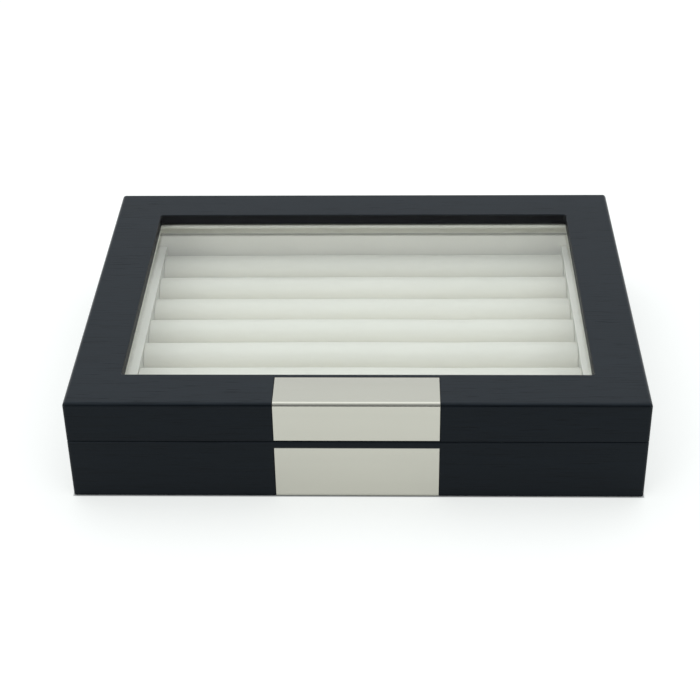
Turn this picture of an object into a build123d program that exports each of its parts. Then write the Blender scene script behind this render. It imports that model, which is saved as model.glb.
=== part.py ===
from build123d import *
from math import cos, radians, sin
import os

# A display box for cufflinks: a low veneered case, a glazed lid hinged at the back, and eight padded
# velvet rolls inside, with the cufflinks' posts pushed down between them.
# Millimetres. X runs across the box, -Y is its front, +Z is up. The origin is on the table, under the
# middle of the case.

os.makedirs("parts", exist_ok=True)

# ---- Driving dimensions -------------------------------------------------------------------------

# Case, outside
case_width = 280.0
case_depth = 210.0
case_height = 55.5
rim_height = 32.85         # the base's rim above the table
seam = 0.4                 # gap between the rims of the base and the closed lid
corner_radius = 1.5        # upright corners of the case
edge_radius = 2.0          # rounding along the lid's top edge
rim_chamfer = 0.4          # eased outer edge of both rims
foot_chamfer = 0.3         # eased lower edge of the case

# Boards
side_board = 8.0           # thickness of the walls of base and lid
floor_board = 4.0          # thickness of the bottom board
floor_lap = 4.0            # how far the bottom board runs into the walls' rebate
board_clearance = 0.1      # round the bottom board, and between cards and walls

# Felt under the case
felt_thickness = 0.3
felt_inset = 4.0

# Window
window_border = 25.1       # width of wood round the window
window_lip = 5.9           # wood left above the glass
window_corner = 1.5
window_edge = 0.45         # easing of the window's upper edge
glass_thickness = 3.0
glass_lap = 4.0            # how far the glass runs under the wood
glass_clearance = 0.3
glass_arris = 0.3

# Velvet-wrapped strips under the glass, and cards on the walls
strip_thickness = 2.2
strip_reveal = 0.3         # how far the strips stand back from the window's edge
strip_round = 0.8
lining_thickness = 2.6
base_lining_setback = 0.8  # how far the cards stop short of the base's rim
lid_lining_setback = 0.1   # and of the lid's
lining_round = 0.5

# Tray
tray_card = 1.6
roll_count = 8
roll_height = 19.4
roll_end_gap = 1.75        # between the first or last roll and the wall card
roll_play = 0.3            # between neighbouring rolls
roll_foot_draw = 1.9       # how far each side draws in at the foot
roll_end_round = 0.8       # rounding of the ends
roll_side_share = 0.4      # of a change in height, how much each side follows
roll_crown = 0.5           # extra height in the middle of the length
roll_seat = 0.1            # under the rolls
soft_clearance = 0.3
ledge_width = 14.3
ledge_drop = 0.1           # the ledges lie this much below the rolls' crests
ledge_round = 0.6

# Metal plates on the front
plate_width = 80.0
plate_thickness = 0.8
plate_clearance = 0.15
plate_bevel = 0.2
plate_from_window = 2.6    # wood between the window and the lid plate
plate_above_rim = 0.6      # wood between the lid plate and the lid's rim
plate_below_rim = 3.35     # wood between the base's rim and the base plate
plate_above_foot = 0.1

# Stop hinges
hinge_from_side = 55.0     # from the case's side to the middle of the hinge
hinge_length = 30.0
hinge_stop_angle = 96.0    # the heels would meet here
leaf_width = 6.5           # let into the rim
leaf_thickness = 1.0
barrel_radius = 2.0
barrel_gap = 0.4           # between barrel and case
knuckle_count = 5
knuckle_gap = 0.2
pin_radius = 1.0
pin_running = 0.05         # round the pin, in the lid's knuckles
pin_seat = 0.02            # round the pin, in the base's knuckles
pin_end = 0.3              # how far the pin stands proud of the barrel
heel_reach = 5.6           # from the pin's axis to the heel's edge
heel_gap = 0.5             # between barrel and the heel's bar

# Countersunk wood screws
screw_radius = 0.9
screw_head_radius = 1.9
screw_length = 7.0
screw_spacing = 18.0
screw_clearance = 0.05
cross_width = 0.5
cross_span = 2.0
cross_depth = 0.45

# ---- Levels and spaces that follow --------------------------------------------------------------

foot_level = felt_thickness
floor_top = foot_level + floor_board
tray_top = floor_top + tray_card
crest_level = tray_top + roll_seat + roll_height
ledge_top = crest_level - ledge_drop
lid_rim = rim_height + seam
glass_top = case_height - window_lip
board_low = glass_top - glass_thickness
strip_low = board_low - strip_thickness

window_width = case_width - 2 * window_border
window_depth = case_depth - 2 * window_border
inner_width = case_width - 2 * side_board
inner_depth = case_depth - 2 * side_board
lined_width = inner_width - 2 * lining_thickness
lined_depth = inner_depth - 2 * lining_thickness

front = -case_depth / 2
back = case_depth / 2
hinge_y = back + barrel_gap + barrel_radius
hinge_z = rim_height + seam / 2
hinge_x = case_width / 2 - hinge_from_side

nodes = {}
sides = {"front": 0, "right": 90, "back": 180, "left": 270}


# ---- Forms used more than once ------------------------------------------------------------------

def upright(width, depth, low, high, radius=0.0):
    """Block centred on the case, with round upright corners where a radius is given."""
    if radius > 0:
        outline = RectangleRounded(width, depth, radius)
    else:
        outline = Rectangle(width, depth)
    return Pos(0, 0, low) * extrude(outline, high - low)


def half_sizes(turn, width, depth):
    """Half the length and half the span across, as seen from the side that is turned to the front."""
    if turn in (0, 180):
        return width / 2, depth / 2
    return depth / 2, width / 2


def mitre_block(turn, width, depth, low, high):
    """Block as wide as the window's border, whose ends run in at 45 degrees from a frame's corners."""
    half_length, half_across = half_sizes(turn, width, depth)
    outline = Polygon(
        (-half_length, -half_across),
        (half_length, -half_across),
        (half_length - window_border, -half_across + window_border),
        (-half_length + window_border, -half_across + window_border),
        align=None,
    )
    return Rot(0, 0, turn) * Pos(0, 0, low) * extrude(outline, high - low)


def box_between(x_range, y_range, z_range):
    """Plain block given by its lower and upper limits."""
    size = [pair[1] - pair[0] for pair in (x_range, y_range, z_range)]
    corner = [pair[0] for pair in (x_range, y_range, z_range)]
    return Pos(*corner) * Box(*size, align=(Align.MIN, Align.MIN, Align.MIN))


def outer_edges(solid, level):
    """Edges of a case ring that lie on its outline at one level."""
    flat = solid.faces().filter_by(Axis.Z).sort_by(lambda face: abs(face.center().Z - level))[0]
    return flat.outer_wire().edges()


# ---- Countersunk screw, head up, its head's top at the origin -----------------------------------

def screw_form(extra, length):
    """Turned form of the screw, without its thread and point. With extra all round it is the hole."""
    head = screw_head_radius + extra
    shank = screw_radius + extra
    depth = screw_head_radius - screw_radius
    outline = Polygon(
        (0, 0),
        (head, 0),
        (shank, -depth),
        (shank, -length),
        (0, -length),
        align=None,
    )
    return revolve(Plane.XZ * outline, Axis.Z)


def cross_recess():
    bar = Box(cross_span, cross_width, cross_depth, align=(Align.CENTER, Align.CENTER, Align.MAX))
    return bar + Rot(0, 0, 90) * bar


def hinge_screw():
    return screw_form(0.0, screw_length) - cross_recess()


def screw_hole():
    return screw_form(screw_clearance, screw_length + screw_clearance)


# The screws stand midway across the let-in leaf. Those of the lid point up.
screw_y = back - leaf_width / 2
screw_places = [
    side * hinge_x + along * screw_spacing / 2
    for side in (-1, 1)
    for along in (-1, 1)
]
base_screw_spots = [Pos(x, screw_y, rim_height) for x in screw_places]
lid_screw_spots = [Pos(x, screw_y, lid_rim) * Rot(180, 0, 0) for x in screw_places]


# ---- Metal plates, let in flush with the wood ---------------------------------------------------

def bent_plate(grow):
    """Lid plate: sheet bent over the front top edge. With grow it is the recess that takes it."""
    rear = front + window_border - plate_from_window + grow
    foot = lid_rim + plate_above_rim - grow
    rest = rear - front
    drop = case_height - foot
    outside = Pos(front, case_height) * Rectangle(rest, drop, align=(Align.MIN, Align.MAX))
    outside = fillet(outside.vertices().group_by(Axis.Y)[-1].sort_by(Axis.X)[0], edge_radius)
    inside = Pos(front + plate_thickness, case_height - plate_thickness) * Rectangle(
        rest, drop, align=(Align.MIN, Align.MAX)
    )
    inner_radius = edge_radius - plate_thickness
    inside = fillet(inside.vertices().group_by(Axis.Y)[-1].sort_by(Axis.X)[0], inner_radius)
    half = plate_width / 2 + grow
    return Pos(-half, 0, 0) * extrude(Plane.YZ * (outside - inside), 2 * half)


def flat_plate(grow):
    """Base plate, or with grow its recess."""
    half = plate_width / 2 + grow
    return box_between(
        (-half, half),
        (front, front + plate_thickness),
        (foot_level + plate_above_foot - grow, rim_height - plate_below_rim + grow),
    )


def on_skin(edge):
    """True for an edge of a plate whose two ends lie on its outer skin."""
    depths = [min(point.Y - front, case_height - point.Z) for point in (edge @ 0, edge @ 1)]
    return max(depths) < plate_bevel


def bevelled(plate):
    """Plate with the edges round its outer skin eased, though not the lines where its bend begins."""
    by_width = plate.edges().group_by(Axis.X)
    rim = (by_width[0] + by_width[-1]).filter_by(on_skin)
    cross_lines = plate.edges().filter_by(Axis.X).filter_by(on_skin)
    cross_lines = cross_lines.sort_by(lambda edge: edge.center().Y + edge.center().Z)
    return chamfer(rim + [cross_lines[0], cross_lines[-1]], plate_bevel)


nodes["lid_plate"] = bevelled(bent_plate(0.0))
nodes["base_plate"] = bevelled(flat_plate(0.0))


# ---- Stop hinges --------------------------------------------------------------------------------
# Two leaves let into the rims turn on one pin behind the case. Behind the barrel each leaf carries a
# heel, a bar as long as the hinge. The two heels meet and stop the lid a little past upright.

knuckle_length = (hinge_length - (knuckle_count - 1) * knuckle_gap) / knuckle_count


def along_hinge(outline, start, length):
    """Section in the YZ plane about the pin's axis, drawn out along the hinge."""
    return Pos(start, 0, 0) * extrude(Plane.YZ * outline, length)


def hinge_leaf(first_knuckle, bore):
    """Lid's leaf, about the pin's axis. The base's leaf is the same form turned upside down."""
    half = hinge_length / 2
    to_case = barrel_radius + barrel_gap
    plate = box_between(
        (-half, half),
        (-to_case - leaf_width, -to_case),
        (seam / 2, seam / 2 + leaf_thickness),
    )
    root = Pos(-to_case, seam / 2) * Rectangle(to_case, leaf_thickness, align=(Align.MIN, Align.MIN))
    lean = Rot(0, 0, hinge_stop_angle / 2)
    web = lean * Rectangle(heel_reach, leaf_thickness, align=(Align.MIN, Align.MIN))
    bar_start = barrel_radius + heel_gap
    bar = lean * Pos(bar_start, 0) * Rectangle(
        heel_reach - bar_start, leaf_thickness, align=(Align.MIN, Align.MIN)
    )
    knuckle = Circle(barrel_radius) + root + web - Circle(bore)
    leaf = plate + along_hinge(bar, -half, hinge_length)
    for index in range(first_knuckle, knuckle_count, 2):
        start = -half + index * (knuckle_length + knuckle_gap)
        leaf += along_hinge(knuckle, start, knuckle_length)
    return leaf


def hinge_pin():
    return Rot(0, 90, 0) * Cylinder(pin_radius, hinge_length + 2 * pin_end)


def leaf_recess(low):
    """Pocket in a rim for both leaves, from the case's back face inwards."""
    half = hinge_length / 2 + board_clearance
    return [
        box_between(
            (side * hinge_x - half, side * hinge_x + half),
            (back - leaf_width - board_clearance, hinge_y),
            (low, low + leaf_thickness),
        )
        for side in (-1, 1)
    ]


lid_leaf = hinge_leaf(1, pin_radius + pin_running)
base_leaf = Rot(180, 0, 0) * mirror(hinge_leaf(0, pin_radius + pin_seat), Plane.XZ)
for side, hand in ((-1, "left"), (1, "right")):
    seat = Pos(side * hinge_x, hinge_y, hinge_z)
    upper = seat * lid_leaf
    lower = seat * base_leaf
    for spot in lid_screw_spots:
        upper -= spot * screw_hole()
    for spot in base_screw_spots:
        lower -= spot * screw_hole()
    nodes[f"hinge_{hand}_lid_leaf"] = upper
    nodes[f"hinge_{hand}_base_leaf"] = lower

nodes["hinge_pins"] = Compound([Pos(side * hinge_x, hinge_y, hinge_z) * hinge_pin() for side in (-1, 1)])
nodes["lid_hinge_screws"] = Compound([spot * hinge_screw() for spot in lid_screw_spots])
nodes["base_hinge_screws"] = Compound([spot * hinge_screw() for spot in base_screw_spots])


# ---- Lid: window board and four walls -----------------------------------------------------------

board = upright(case_width, case_depth, board_low, case_height, corner_radius)
board = fillet(outer_edges(board, case_height), edge_radius)
board -= upright(window_width, window_depth, board_low, case_height, window_corner)
board -= upright(
    window_width + 2 * glass_lap,
    window_depth + 2 * glass_lap,
    board_low,
    glass_top,
    window_corner + glass_clearance,
)
window_rim = board.faces().filter_by(Axis.Z).sort_by(Axis.Z)[-1].inner_wires()[0].edges()
board = chamfer(window_rim, window_edge)
nodes["lid_window_board"] = board - bent_plate(plate_clearance)

lid_ring = upright(case_width, case_depth, lid_rim, board_low, corner_radius)
lid_ring = chamfer(outer_edges(lid_ring, lid_rim), rim_chamfer)
lid_ring -= upright(inner_width, inner_depth, lid_rim, board_low)
lid_ring -= bent_plate(plate_clearance)
for pocket in leaf_recess(lid_rim):
    lid_ring -= pocket
for spot in lid_screw_spots:
    lid_ring -= spot * screw_hole()
for name, turn in sides.items():
    block = mitre_block(turn, case_width, case_depth, lid_rim, board_low)
    nodes[f"lid_{name}_wall"] = lid_ring & block

# ---- Glass --------------------------------------------------------------------------------------

glass = upright(
    window_width + 2 * (glass_lap - glass_clearance),
    window_depth + 2 * (glass_lap - glass_clearance),
    board_low,
    glass_top,
    window_corner,
)
flat_edges = glass.faces().filter_by(Axis.Z).edges()
nodes["glass_pane"] = chamfer(flat_edges, glass_arris)

# ---- Velvet-wrapped strips under the glass, mitred at the corners -------------------------------

strips_width = inner_width - 2 * board_clearance
strips_depth = inner_depth - 2 * board_clearance
for name, turn in sides.items():
    half_length, half_across = half_sizes(turn, strips_width, strips_depth)
    _, half_window = half_sizes(turn, window_width, window_depth)
    strip_width = half_across - half_window - strip_reveal
    section = Pos(-half_across, strip_low) * Rectangle(
        strip_width, strip_thickness, align=(Align.MIN, Align.MIN)
    )
    section = fillet(section.vertices().group_by(Axis.X)[-1], strip_round)
    strip = Pos(-half_length, 0, 0) * extrude(Plane.YZ * section, 2 * half_length)
    block = mitre_block(turn, strips_width, strips_depth, strip_low, board_low)
    nodes[f"lid_border_{name}"] = (Rot(0, 0, turn) * strip) & block


# ---- Cards on the inside of the walls -----------------------------------------------------------

def lining_card(turn, low, high):
    """Card on one wall. Those on the left and right run the full depth, the others fit between them."""
    half_length, half_across = half_sizes(turn, lined_width, inner_depth)
    if turn in (90, 270):
        half_across = inner_width / 2
    card = box_between(
        (-half_length + board_clearance, half_length - board_clearance),
        (-half_across + board_clearance, -half_across + lining_thickness),
        (low, high),
    )
    long_edges = card.edges().filter_by(Axis.X).group_by(Axis.Y)[-1]
    return Rot(0, 0, turn) * fillet(long_edges, lining_round)


for name, turn in sides.items():
    nodes[f"lid_lining_{name}"] = lining_card(turn, lid_rim + lid_lining_setback, strip_low)
    nodes[f"base_lining_{name}"] = lining_card(turn, floor_top, rim_height - base_lining_setback)

# ---- Base: four walls, bottom board and felt ----------------------------------------------------

base_ring = upright(case_width, case_depth, foot_level, rim_height, corner_radius)
base_ring = chamfer(outer_edges(base_ring, rim_height), rim_chamfer)
base_ring = chamfer(outer_edges(base_ring, foot_level), foot_chamfer)
base_ring -= upright(inner_width, inner_depth, foot_level, rim_height)
base_ring -= upright(inner_width + 2 * floor_lap, inner_depth + 2 * floor_lap, foot_level, floor_top)
base_ring -= flat_plate(plate_clearance)
for pocket in leaf_recess(rim_height - leaf_thickness):
    base_ring -= pocket
for spot in base_screw_spots:
    base_ring -= spot * screw_hole()
for name, turn in sides.items():
    block = mitre_block(turn, case_width, case_depth, foot_level, rim_height)
    nodes[f"base_{name}_wall"] = base_ring & block

nodes["base_floor_board"] = upright(
    inner_width + 2 * (floor_lap - board_clearance),
    inner_depth + 2 * (floor_lap - board_clearance),
    foot_level,
    floor_top,
)
nodes["underside_felt"] = upright(
    case_width - 2 * felt_inset, case_depth - 2 * felt_inset, 0.0, felt_thickness, corner_radius
)

# ---- Tray: card, ledges and rolls ---------------------------------------------------------------

nodes["tray_floor"] = upright(
    lined_width - 2 * board_clearance, lined_depth - 2 * board_clearance, floor_top, tray_top
)

ledge_outer = lined_width / 2 - board_clearance
ledge_inner = ledge_outer - ledge_width
ledge_half = lined_depth / 2 - soft_clearance
for side, hand in ((-1, "left"), (1, "right")):
    near, far = sorted((side * ledge_inner, side * ledge_outer))
    ledge = box_between((near, far), (-ledge_half, ledge_half), (tray_top, ledge_top))
    nodes[f"ledge_{hand}"] = fillet(ledge.faces().sort_by(Axis.Z)[-1].edges(), ledge_round)

roll_pitch = (lined_depth - 2 * roll_end_gap) / roll_count
roll_half = (roll_pitch - roll_play) / 2
roll_length = 2 * (ledge_inner - soft_clearance)
roll_base = crest_level - roll_height


def roll_section(x, draw):
    """Section of a roll: flat foot, sides that draw in to it and a half-round top, lower by draw."""
    half = roll_half - roll_side_share * draw
    shoulder = roll_height - draw - half
    foot = half - roll_foot_draw
    slant = half * 0.5 ** 0.5
    right_side = TangentArc((half, shoulder), (foot, 0), tangent=(0, -1))
    right_top = ThreePointArc((half, shoulder), (slant, shoulder + slant), (0, shoulder + half))
    left_side = mirror(right_side, Plane.YZ)
    left_top = mirror(right_top, Plane.YZ)
    outline = Line((-foot, 0), (foot, 0)) + right_side + right_top + left_top + left_side
    return Pos(x, 0, roll_base) * (Plane.YZ * make_face(outline))


def padded_roll():
    """Foam-filled roll: crowned in the middle, its ends rounded off in two flats."""
    sections = [(0.0, 0.0)]
    for angle in (90, 45, 0):
        x = roll_length / 2 - roll_end_round * (1 - cos(radians(angle)))
        draw = roll_crown + roll_end_round * (1 - sin(radians(angle)))
        sections = [(-x, draw), *sections, (x, draw)]
    return loft([roll_section(x, draw) for x, draw in sections], ruled=True)


roll = padded_roll()
for index in range(roll_count):
    y = (roll_count - 1) / 2 * roll_pitch - index * roll_pitch
    nodes[f"roll_{index + 1}"] = Pos(0, y, 0) * roll

for name, solid in nodes.items():
    export_step(solid, f"parts/{name}.step")
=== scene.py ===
from math import cos, radians, sin

import bpy
from mathutils import Matrix, Vector, noise


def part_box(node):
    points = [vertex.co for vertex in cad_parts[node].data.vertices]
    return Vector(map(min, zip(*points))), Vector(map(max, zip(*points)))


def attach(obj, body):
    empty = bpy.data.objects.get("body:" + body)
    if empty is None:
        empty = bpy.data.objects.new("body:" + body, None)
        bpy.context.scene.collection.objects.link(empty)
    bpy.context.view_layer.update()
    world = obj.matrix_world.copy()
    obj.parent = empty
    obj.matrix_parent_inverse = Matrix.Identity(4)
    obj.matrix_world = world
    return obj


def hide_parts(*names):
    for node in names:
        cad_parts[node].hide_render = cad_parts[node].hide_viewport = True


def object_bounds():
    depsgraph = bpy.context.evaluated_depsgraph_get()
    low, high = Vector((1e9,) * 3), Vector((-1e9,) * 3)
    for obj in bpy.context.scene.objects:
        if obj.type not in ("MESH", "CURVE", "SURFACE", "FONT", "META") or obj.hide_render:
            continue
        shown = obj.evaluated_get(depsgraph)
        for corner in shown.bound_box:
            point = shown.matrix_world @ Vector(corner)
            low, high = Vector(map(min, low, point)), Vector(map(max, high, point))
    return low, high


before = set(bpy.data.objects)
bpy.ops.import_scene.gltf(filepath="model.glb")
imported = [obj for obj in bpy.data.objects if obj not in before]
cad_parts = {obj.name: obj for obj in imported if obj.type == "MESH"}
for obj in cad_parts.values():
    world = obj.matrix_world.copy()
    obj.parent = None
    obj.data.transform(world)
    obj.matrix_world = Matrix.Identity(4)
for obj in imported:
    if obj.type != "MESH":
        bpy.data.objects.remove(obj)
cad_low, cad_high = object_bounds()

# ---- Base: walls and bottom board --------------------------------------------------------------
# Four walls of fibreboard, mitred and glued, with the bottom board let into a rebate below them. The
# veneer is ash, stained black under an open-grained satin lacquer. Its grain lies level on upright faces
# and runs across the box on those that face up.


class Wire:
    """A socket of a finish's nodes. Sums written on it add the Math nodes."""

    def __init__(self, finish, socket):
        self.finish, self.socket = finish, socket

    def sum(self, operation, first, second):
        return self.finish.node("ShaderNodeMath", {"operation": operation}, {0: first, 1: second})

    def __add__(self, other):
        return self.sum("ADD", self, other)

    def __sub__(self, other):
        return self.sum("SUBTRACT", self, other)

    def __rsub__(self, other):
        return self.sum("SUBTRACT", other, self)

    def __mul__(self, other):
        return self.sum("MULTIPLY", self, other)

    def __abs__(self):
        return self.sum("ABSOLUTE", self, 0.0)

    __radd__, __rmul__ = __add__, __mul__


class Nodes:
    """The nodes of a material or of the world, with one method that adds a node and feeds it."""

    def __init__(self, owner):
        owner.use_nodes = True
        self.tree = owner.node_tree

    def node(self, kind, settings=None, inputs=None, output=0):
        made = self.tree.nodes.new(kind)
        for name, value in (settings or {}).items():
            if name == "stops":
                ramp = made.color_ramp.elements
                while len(ramp) < len(value):
                    ramp.new(0.5)
                for stop, (position, colour) in zip(ramp, value):
                    stop.position, stop.color = position, (*colour, 1.0)
            else:
                setattr(made, name, value)
        for name, value in (inputs or {}).items():
            self.feed(made.inputs[name], value)
        return Wire(self, made.outputs[output])

    def feed(self, socket, value):
        if isinstance(value, Wire):
            self.tree.links.new(value.socket, socket)
        else:
            socket.default_value = value

    def split(self, vector):
        parts = self.node("ShaderNodeSeparateXYZ", inputs={0: vector}).socket.node
        return [Wire(self, socket) for socket in parts.outputs]

    def larger(self, first, second):
        return self.node("ShaderNodeMath", {"operation": "MAXIMUM"}, {0: first, 1: second})

    def ray(self, kind):
        return self.node("ShaderNodeLightPath", output=f"Is {kind} Ray")

    def seen(self):
        """One for a ray from the camera, straight or by way of metal and glass, else nought."""
        return self.larger(self.ray("Camera"), self.larger(self.ray("Glossy"), self.ray("Transmission")))

    def noise(self, place, stretch, detail=2.0, roughness=0.5):
        """Noise between 0 and 1, with about so many waves to the metre along each axis."""
        waves = self.node("ShaderNodeVectorMath", {"operation": "MULTIPLY"}, {0: place, 1: stretch})
        return self.node(
            "ShaderNodeTexNoise",
            inputs={"Vector": waves, "Scale": 1.0, "Detail": detail, "Roughness": roughness},
            output="Fac",
        )

    def ramp(self, value, *stops):
        return self.node("ShaderNodeValToRGB", {"stops": stops}, {"Fac": value}, "Color")

    def span(self, value, low, high, start=0.0, end=1.0):
        """Value from low to high, spread over start to end and held there."""
        limits = {"From Min": low, "From Max": high, "To Min": start, "To Max": end}
        return self.node("ShaderNodeMapRange", inputs={"Value": value, **limits})

    def blend(self, share, first, second, mode="MIX"):
        return self.node(
            "ShaderNodeMix", {"data_type": "RGBA", "blend_type": mode},
            {0: share, 6: first, 7: second}, 2,
        )

    def with_more(self, share, colour, more):
        """Colour with a share of more added to it."""
        return self.blend(share, colour, self.blend(1.0, colour, more, "ADD"))

    def darkened(self, share, colour, by):
        """Colour multiplied by another where share is one."""
        return self.blend(share, colour, self.blend(1.0, colour, by, "MULTIPLY"))

    def bump(self, height, depth, strength=1.0):
        inputs = {"Height": height, "Distance": depth, "Strength": strength}
        return self.node("ShaderNodeBump", inputs=inputs)


class Finish(Nodes):
    """A material with one Principled shader."""

    def __init__(self, name, **constants):
        self.material = bpy.data.materials.new(name)
        super().__init__(self.material)
        self.shader = self.tree.nodes["Principled BSDF"]
        for socket, value in constants.items():
            self.shader.inputs[socket.replace("_", " ")].default_value = value
        self.place = self.node("ShaderNodeTexCoord", output="Object")
        self.facing = self.node("ShaderNodeTexCoord", output="Normal")

    def shade(self, **sockets):
        for name, value in sockets.items():
            self.feed(self.shader.inputs[name.replace("_", " ")], value)


def dress(finish, *names):
    """Gives CAD nodes a finish."""
    for name in names:
        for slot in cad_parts[name].material_slots:
            slot.material = finish.material


def level_grain(finish):
    """Object coordinates turned so that x runs along the grain."""
    x, y, z = finish.split(finish.place)
    sideways = finish.split(finish.facing)[0]
    turn = finish.span(abs(sideways), 0.6, 0.8)
    shift = (y - x) * turn
    return finish.node("ShaderNodeCombineXYZ", inputs={0: x + shift, 1: y - shift, 2: z})


stain_dark, stain_light = (0.0010, 0.0019, 0.0032), (0.0032, 0.0052, 0.0082)
pore_stain = (0.0008, 0.0012, 0.0019, 1.0)
# Painted light: a sheen added to the colour of the faces that look up.
painted_top_sheen = (0.0110, 0.0132, 0.0158, 1.0)
# Painted reflection: a lighter colour added on the window's cut edge.
painted_lip_reflection = (0.0090, 0.0074, 0.0064, 1.0)
glass_lap = 0.0037             # how far the glass runs under the wood
lip_reflection_reach = 0.0003           # the painted reflection ends so far outside the cut edge
lip_reflection_fade = 0.0002

veneer = Finish("black_stained_veneer", Specular_IOR_Level=0.155, Specular_Tint=(0.80, 0.92, 1.0, 1.0))
grain = level_grain(veneer)
figure = veneer.noise(grain, (3.0, 45.0, 45.0), 3.0)
fibres = veneer.noise(grain, (35.0, 1100.0, 1100.0), 3.0, 0.6)
pores = veneer.span(veneer.noise(grain, (60.0, 1900.0, 1900.0), 1.0), 0.6, 0.72)
tone = veneer.span(figure * 0.45 + fibres * 0.55, 0.3, 0.7)
colour = veneer.ramp(tone, (0.0, stain_dark), (1.0, stain_light))
colour = veneer.blend(pores * 0.6, colour, pore_stain)
# Painted sheen: the faces that look up are made lighter, a painted reflection of the light overhead.
upward = veneer.split(veneer.facing)[2]
painted_top_light = veneer.span(upward, 0.60, 0.80) * veneer.span(fibres - pores * 0.6, 0.2, 0.7, 0.6, 1.3)
colour = veneer.with_more(painted_top_light, colour, painted_top_sheen)
# Painted reflection: the cut edge round the window is made a shade greyer, for the bright inside it
# mirrors.
cut_x, cut_y = (half - glass_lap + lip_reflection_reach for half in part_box("glass_pane")[1].xy)
off_x, off_y = (abs(part) for part in veneer.split(veneer.place)[:2])
lip_reflection_mask = veneer.span(off_x, cut_x, cut_x - lip_reflection_fade) * veneer.span(off_y, cut_y, cut_y - lip_reflection_fade)
colour = veneer.with_more(lip_reflection_mask, colour, painted_lip_reflection)
# The rounded edges are rubbed smoother.
rounding = veneer.span(upward, 0.12, 0.3) * veneer.span(upward, 0.99, 0.9)
veneer.shade(
    Base_Color=colour,
    Roughness=0.42 + fibres * 0.10 + pores * 0.08 - rounding * 0.18,
    Normal=veneer.bump(fibres * 0.6 - pores, 0.00006, 0.6),
)
sides = ("front", "back", "left", "right")
dress(veneer, *(f"base_{side}_wall" for side in sides), "base_floor_board")

# ---- Felt under the base -----------------------------------------------------------------------
# One sheet of black wool felt, cut a little smaller than the case and glued under it, so that the box
# doesn't scratch what it stands on.

felt_dark, felt_light = (0.006, 0.006, 0.007), (0.022, 0.022, 0.024)
felt = Finish("black_wool_felt", Specular_IOR_Level=0.15, Sheen_Weight=0.25, Sheen_Roughness=0.6)
tufts = felt.noise(felt.place, (900.0, 900.0, 900.0), 4.0, 0.7)
cloud = felt.noise(felt.place, (60.0, 60.0, 60.0), 2.0)
felt.shade(
    Base_Color=felt.ramp(tufts * 0.7 + cloud * 0.3, (0.3, felt_dark), (0.7, felt_light)),
    Roughness=felt.span(tufts, 0.2, 0.8, 0.88, 0.98),
    Normal=felt.bump(tufts, 0.0004, 0.7),
)
dress(felt, "underside_felt")

# ---- Linings of the base -----------------------------------------------------------------------
# Cards wrapped in ivory velvet are glued to the walls and laid on the bottom board. The pile is short
# and dense, brushed lengthwise.


def velvet(name, light, shaded, sheen, streaks=1.0, painted_shade=None, depth=None):
    """Short-piled velvet between two colours. Its sheen lights it up where it is seen at a slant, and
    where painted_shade is one its colour is multiplied by depth, a painted shade."""
    pile = Finish(name, Specular_IOR_Level=0.1, Sheen_Weight=sheen, Sheen_Roughness=0.35,
                  Sheen_Tint=(0.98, 1.0, 0.94, 1.0))
    nap = pile.noise(pile.place, (14.0, 60.0, 60.0), 3.0, 0.55)
    fuzz = pile.noise(pile.place, (1600.0, 1600.0, 1600.0), 3.0, 0.7)
    streak = pile.noise(pile.place, (160.0, 900.0, 900.0), 2.0) * streaks
    middle, reach = 0.325 + 0.175 * streaks, 0.17
    tone = pile.span(nap * 0.3 + fuzz * 0.35 + streak * 0.35, middle - reach, middle + reach)
    colour = pile.ramp(tone, (0.0, shaded), (1.0, light))
    # Painted shade: where the mask is one, the colour is darkened.
    if painted_shade:
        colour = pile.darkened(painted_shade(pile), colour, (*depth, 1.0))
    pile.shade(
        Base_Color=colour,
        Roughness=pile.span(fuzz, 0.25, 0.75, 0.86, 0.97),
        Normal=pile.bump(fuzz * 0.9 + streak * 0.1, 0.00012, 0.5),
    )
    return pile


# Painted light: this copy of the ivory velvet is lighter than the rolls', to brighten the shaded walls.
lining_velvet_painted_light = velvet(
    "ivory_lining_velvet_painted_light", light=(0.955, 0.945, 0.885), shaded=(0.925, 0.915, 0.855), sheen=0.25
)
dress(lining_velvet_painted_light, *(f"base_lining_{side}" for side in sides), "tray_floor")

# ---- Ledges ------------------------------------------------------------------------------------
# A velvet-wrapped ledge closes the tray at each end of the rolls, level with them. Its velvet is a lighter
# copy, painted light against the frame's shade over it. Its upright sides are darkened with painted
# shade.

ledge_velvet_painted_light = velvet(
    "ivory_ledge_velvet_painted_light_and_shade", light=(0.985, 0.98, 0.945), shaded=(0.965, 0.96, 0.925), sheen=1.0,
    painted_shade=lambda pile: pile.span(abs(pile.split(pile.facing)[0]), 0.5, 0.85),
    depth=(0.52, 0.51, 0.47),
)
dress(ledge_velvet_painted_light, "ledge_left", "ledge_right")

# ---- Rolls -------------------------------------------------------------------------------------
# Eight foam rolls wrapped tight in ivory velvet and glued down by their flat feet, side by side, so
# that posts can be pushed down between them. Each one is packed a little differently.

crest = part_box("roll_1")[1].z
# Painted shade: the velvet darkens from just under the crest down into the creases between the rolls.
crease_shade_top, crease_shade_bottom = crest - 0.0004, crest - 0.0065
roll_velvet_painted_shade = velvet(
    "ivory_roll_velvet_painted_shade", light=(0.885, 0.88, 0.82), shaded=(0.84, 0.835, 0.775), sheen=0.9,
    painted_shade=lambda pile: pile.span(pile.split(pile.place)[2], crease_shade_top, crease_shade_bottom),
    depth=(0.91, 0.90, 0.875),
)
mm = 0.001
roll_rise_mm = (0.05, -0.85, -0.95, 0.20, 0.50, 0.05, 0.20, -0.30)
grid = 0.0022                  # size of the cloth's squares
start_in = 0.0004              # the wrapped core starts this much smaller
swell = 0.00055                # and may swell by this much
pressure, last_step = 4.0, 20  # the foam's push, and the steps in which the cloth settles
foot_band = 0.0006             # height of the glued edge
pull_start, pull_end = 0.35, 0.9   # shares of the height, from where the rise is nought to where it is full
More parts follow.
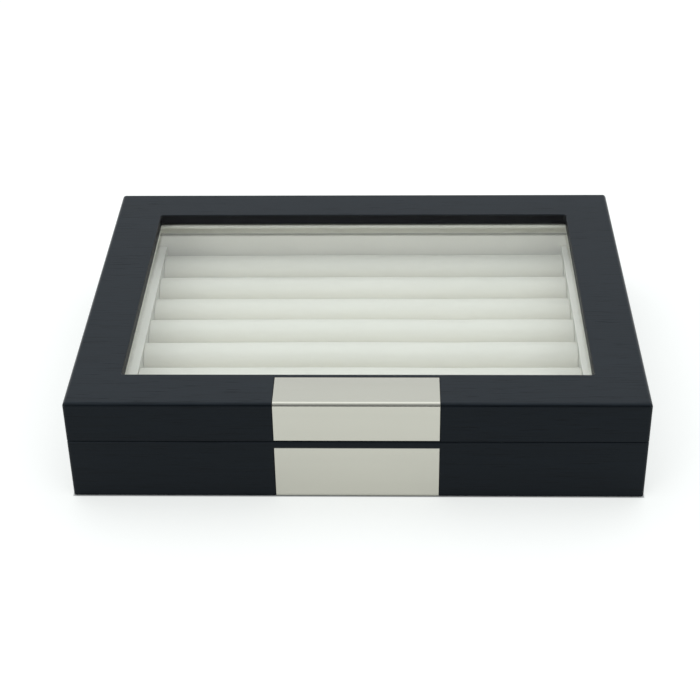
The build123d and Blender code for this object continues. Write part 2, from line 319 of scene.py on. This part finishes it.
slow_mm, quick_mm, sway_mm = 0.15, 0.06, 0.1   # waves along the crest, and to the sides
stretch = 1.04                 # the core is made longer, and cut to length once it is wrapped
end_fold, end_play = 0.0003, 0.0001

for number, rise_mm in enumerate(roll_rise_mm, 1):
    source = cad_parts[f"roll_{number}"]
    low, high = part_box(f"roll_{number}")
    roll = bpy.data.objects.new(f"velvet_roll_{number}", source.data.copy())
    bpy.context.scene.collection.objects.link(roll)
    bpy.ops.object.select_all(action="DESELECT")
    roll.select_set(True)
    bpy.context.view_layer.objects.active = roll
    bpy.ops.object.mode_set(mode="EDIT")
    bpy.ops.mesh.select_all(action="SELECT")
    bpy.ops.mesh.customdata_custom_splitnormals_clear()
    bpy.ops.mesh.remove_doubles(threshold=0.00001)
    bpy.ops.mesh.normals_make_consistent(inside=False)
    bpy.ops.object.mode_set(mode="OBJECT")
    roll.data.remesh_voxel_size = grid
    bpy.ops.object.voxel_remesh()
    for vertex in roll.data.vertices:
        vertex.co.x *= stretch
        if vertex.co.z > low.z + foot_band:
            vertex.co -= vertex.normal * start_in
    glued = roll.vertex_groups.new(name="glued_foot")
    glued.add([v.index for v in roll.data.vertices if v.co.z < low.z + foot_band], 1.0, "REPLACE")

    wrap = roll.modifiers.new("wrap", "CLOTH")
    wrap.settings.use_pressure = True
    wrap.settings.uniform_pressure_force = pressure
    wrap.settings.effector_weights.gravity = 0.0
    wrap.settings.vertex_group_mass = "glued_foot"
    wrap.point_cache.frame_start, wrap.point_cache.frame_end = 1, last_step
    before = [vertex.co.copy() for vertex in roll.data.vertices]
    for step in range(1, last_step + 1):
        bpy.context.scene.frame_set(step)
    swollen = roll.evaluated_get(bpy.context.evaluated_depsgraph_get()).data
    after = [vertex.co.copy() for vertex in swollen.vertices]
    roll.modifiers.remove(wrap)
    bpy.context.scene.frame_set(1)
    for vertex, start, end in zip(roll.data.vertices, before, after):
        move = end - start
        vertex.co = start + move * min(1.0, swell / max(move.length, 1e-9))

    finer = roll.modifiers.new("finer", "SUBSURF")
    finer.levels = finer.render_levels = 1
    bpy.ops.object.modifier_apply(modifier="finer")
    for vertex in roll.data.vertices:
        height = (vertex.co.z - low.z) / (high.z - low.z)
        share = max(0.0, min(1.0, (height - pull_start) / (pull_end - pull_start)))
        slow = noise.noise(Vector((vertex.co.x * 14.0, number * 7.3, 0.0)))
        brisk = noise.noise(Vector((vertex.co.x * 45.0, vertex.co.y * 60.0, number * 3.1)))
        vertex.co.z += share * (rise_mm + slow_mm * slow + quick_mm * brisk) * mm
        sway = noise.noise(Vector((vertex.co.x * 20.0, number * 5.7, 9.0)))
        vertex.co.y += share * sway_mm * mm * sway
    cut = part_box("ledge_right")[0].x - end_play
    bpy.ops.object.mode_set(mode="EDIT")
    for side in (-1, 1):
        for reach, last in ((cut - end_fold, False), (cut, True)):
            bpy.ops.mesh.select_all(action="SELECT")
            bpy.ops.mesh.bisect(
                plane_co=(side * reach, 0, 0), plane_no=(side, 0, 0), use_fill=last, clear_outer=last
            )
    bpy.ops.object.mode_set(mode="OBJECT")
    core = Vector((0.0, (low.y + high.y) / 2, (low.z + high.z) / 2))
    for vertex in roll.data.vertices:
        if abs(vertex.co.x) > cut - end_fold / 2:
            inwards = core - vertex.co
            inwards.x = 0.0
            vertex.co += inwards.normalized() * end_fold
    roll.data.materials.clear()
    roll.data.materials.append(roll_velvet_painted_shade.material)
    roll.data.shade_smooth()
    roll.vertex_groups.clear()
    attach(roll, "base")
    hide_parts(f"roll_{number}")

# ---- Front plate of the base -------------------------------------------------------------------
# A nickel-plated sheet let in flush with the front wall. It is brushed along its length, and the edges
# round its outer face are bevelled.


def plating(name, base, roughness):
    """Satin nickel with fine brush lines along x."""
    metal = Finish(name, Metallic=1.0)
    lines = metal.noise(metal.place, (25.0, 5000.0, 5000.0), 2.0, 0.6)
    bands = metal.noise(metal.place, (6.0, 260.0, 260.0), 2.0)
    clouds = metal.noise(metal.place, (22.0, 22.0, 22.0), 2.0)
    tone = metal.span(lines * 0.4 + bands * 0.3 + clouds * 0.3, 0.3, 0.7)
    metal.shade(
        Base_Color=metal.ramp(tone, (0.0, [c * 0.95 for c in base]), (1.0, base)),
        Roughness=metal.span(lines, 0.2, 0.8, roughness - 0.04, roughness + 0.05),
        Normal=metal.bump(lines, 0.00001, 0.35),
    )
    return metal


nickel = plating("brushed_nickel", (0.548, 0.542, 0.480), 0.22)
dress(nickel, "base_plate")

# ---- Stop hinges -------------------------------------------------------------------------------
# Two stamped steel hinges, nickel-plated, with the leaves let into the rims and the barrels behind the
# case. The heels behind the barrels meet and hold the lid open. The pins and the cross-headed screws
# are plated steel too.

hinge_steel = plating("plated_hinge_steel", (0.44, 0.44, 0.42), 0.26)
for hand in ("left", "right"):
    dress(hinge_steel, f"hinge_{hand}_base_leaf", f"hinge_{hand}_lid_leaf")
screw_steel = plating("screw_steel", (0.38, 0.38, 0.37), 0.30)
dress(screw_steel, "base_hinge_screws", "lid_hinge_screws", "hinge_pins")

# ---- Lid: walls and window board ---------------------------------------------------------------
# The lid's walls stand on the base's rim with a hair's seam. The window board lies on them, one piece
# cut out round the glass, veneered and stained with the rest.

dress(veneer, *(f"lid_{side}_wall" for side in sides), "lid_window_board")

# ---- Glass pane --------------------------------------------------------------------------------
# One pane of clear, faintly green float glass with ground edges, laid into the window board's rebate from
# below. Light falls through it as through a clear sheet, so that it casts no dark shadow.

glass_deep, glass_clear = (0.972, 0.990, 0.974), (0.982, 0.995, 0.982)
pane = Finish("clear_float_glass", IOR=1.5, Transmission_Weight=1.0)
smear = pane.noise(pane.place, (18.0, 30.0, 18.0), 3.0)
pane.shade(
    Base_Color=pane.ramp(smear, (0.3, glass_deep), (0.7, glass_clear)),
    Roughness=pane.span(smear, 0.3, 0.7, 0.0, 0.012),
)
through = pane.node("ShaderNodeBsdfTransparent", inputs={0: (0.91, 0.92, 0.905, 1.0)})
solid = Wire(pane, pane.shader.outputs[0])
mixed = pane.node("ShaderNodeMixShader", inputs={0: pane.ray("Shadow"), 1: solid, 2: through})
pane.feed(pane.tree.nodes["Material Output"].inputs["Surface"], mixed)
dress(pane, "glass_pane")

# ---- Strips under the glass and linings of the lid ---------------------------------------------
# Velvet-wrapped strips, mitred at the corners, hold the pane up against the window board. Below them
# the lid's walls are lined with cards like those of the base.

strip_velvet = velvet(
    "ivory_strip_velvet", light=(0.93, 0.925, 0.875), shaded=(0.91, 0.905, 0.855), sheen=0.15, streaks=0.0
)
dress(strip_velvet, *(f"lid_border_{side}" for side in sides))
# The lid's linings take the same lighter copy of the velvet, painted light.
dress(lining_velvet_painted_light, *(f"lid_lining_{side}" for side in sides))

# ---- Front plate of the lid --------------------------------------------------------------------
# The same brushed sheet, bent over the lid's front edge: one leg lies in the window board and the other
# in the front wall.

dress(nickel, "lid_plate")

# ---- Studio ------------------------------------------------------------------------------------
# A white table that runs on past the picture, in a light tent with one softbox overhead and one on each
# side of the camera. Behind the camera the studio is dark, and dim above that, which only metal mirrors:
# it is the dark line along the plate's bend.

bpy.ops.object.select_all(action="DESELECT")
table_side, table_drop = 14.0, 0.0001
bpy.ops.mesh.primitive_plane_add(size=table_side, location=(0.0, 0.0, -table_drop))
table = bpy.context.object
table.name = "table"
sheet = Finish("white_table", Roughness=0.7, Specular_IOR_Level=0.0)
mottle = sheet.noise(sheet.place, (2.0, 2.0, 2.0), 2.0)
paper = sheet.ramp(mottle, (0.3, (0.875, 0.890, 0.893)), (0.7, (0.885, 0.900, 0.903)))
# Of the white that the camera sees, one part takes shadows and the other, glow_share, doesn't. That
# glow starts at the case's foot, and a little further off in the metal, so that a dark line stays there.
shaded_share, glow_share = 0.56, 0.57
contact, contact_mirrored = 0.0006, 0.0016
seen = sheet.seen()
sheet.shade(Base_Color=sheet.darkened(seen, paper, (shaded_share,) * 3 + (1.0,)))
across, along = sheet.split(sheet.place)[:2]
outside = sheet.larger(abs(across) - cad_high.x, abs(along) + cad_low.y)
clear = sheet.span(outside, 0.0, contact + sheet.ray("Glossy") * contact_mirrored)
glow_white = (0.985, 1.0, 0.975, 1.0)
glow = sheet.node("ShaderNodeEmission", inputs={0: glow_white, 1: seen * clear * glow_share})
lit = sheet.node("ShaderNodeAddShader", inputs={0: Wire(sheet, sheet.shader.outputs[0]), 1: glow})
sheet.feed(sheet.tree.nodes["Material Output"].inputs["Surface"], lit)
table.data.materials.append(sheet.material)

world = bpy.data.worlds.new("light_tent")
bpy.context.scene.world = world
tent = Nodes(world)
background = tent.tree.nodes["Background"].inputs
background["Color"].default_value = (0.955, 0.985, 1.0, 1.0)
aside, forth, up = tent.split(tent.node("ShaderNodeTexCoord", output="Generated"))
# What metal mirrors of the studio behind the camera, by height: dark, dim, and white overhead.
unlit = tent.span(abs(aside), 0.46, 0.18) * tent.span(forth, -0.02, -0.20)
heights = ((0.40, 0.04), (0.52, 0.45), (0.88, 0.5), (0.98, 1.0))
dimmed = 1.0 - tent.ramp(up, *((height, [grey] * 3) for height, grey in heights))
mirrored = tent.ray("Glossy") * (1.0 - tent.ray("Transmission"))
# What lights the box, and what shows of the tent.
lighting = 0.91 + forth * 0.28 - aside * 0.05
shown = 0.95 + tent.ray("Camera") * 0.05 - mirrored * unlit * dimmed * 0.95
strength = tent.node("ShaderNodeMix", {"data_type": "FLOAT"}, {0: tent.seen(), 2: lighting, 3: shown})
tent.feed(background["Strength"], strength)

softboxes = (                  # place, width, depth and watts
    ((0.0, 0.50, 1.20), 1.4, 1.0, 3.0),
    ((-0.70, -1.00, 0.95), 0.5, 0.5, 1.8),
    ((0.70, -1.00, 0.95), 0.5, 0.5, 0.9),
)
for place, width, depth, power in softboxes:
    softbox = bpy.data.lights.new("softbox", "AREA")
    softbox.shape = "RECTANGLE"
    softbox.size, softbox.size_y = width, depth
    softbox.energy = power
    lamp = bpy.data.objects.new("softbox", softbox)
    lamp.location = place
    lamp.rotation_euler = (-lamp.location).to_track_quat("-Z", "Y").to_euler()
    bpy.context.scene.collection.objects.link(lamp)

# The camera as fitted to the case's edges in the photograph.
pitch, tilt, yaw = radians(33.591), radians(1.028), radians(-1.929)
camera_place = (0.018534, -0.725319, 0.498544)
focal_pixels, picture_pixels, film_mm = 1613.2, 700.0, 36.0
ahead = Vector((sin(yaw) * cos(pitch), cos(yaw) * cos(pitch), -sin(pitch)))
level = Vector((cos(yaw), -sin(yaw), 0.0))
down = ahead.cross(level)
right = level * cos(tilt) + down * sin(tilt)
below = down * cos(tilt) - level * sin(tilt)
lens = bpy.data.cameras.new("camera")
lens.sensor_width = film_mm
lens.lens = focal_pixels / picture_pixels * film_mm
lens.clip_start = 0.01
camera = bpy.data.objects.new("camera", lens)
turned = Matrix((right, -below, -ahead)).transposed().to_4x4()
camera.matrix_world = Matrix.Translation(camera_place) @ turned
bpy.context.scene.collection.objects.link(camera)
bpy.context.scene.camera = camera
bpy.context.scene.view_settings.view_transform = "Standard"
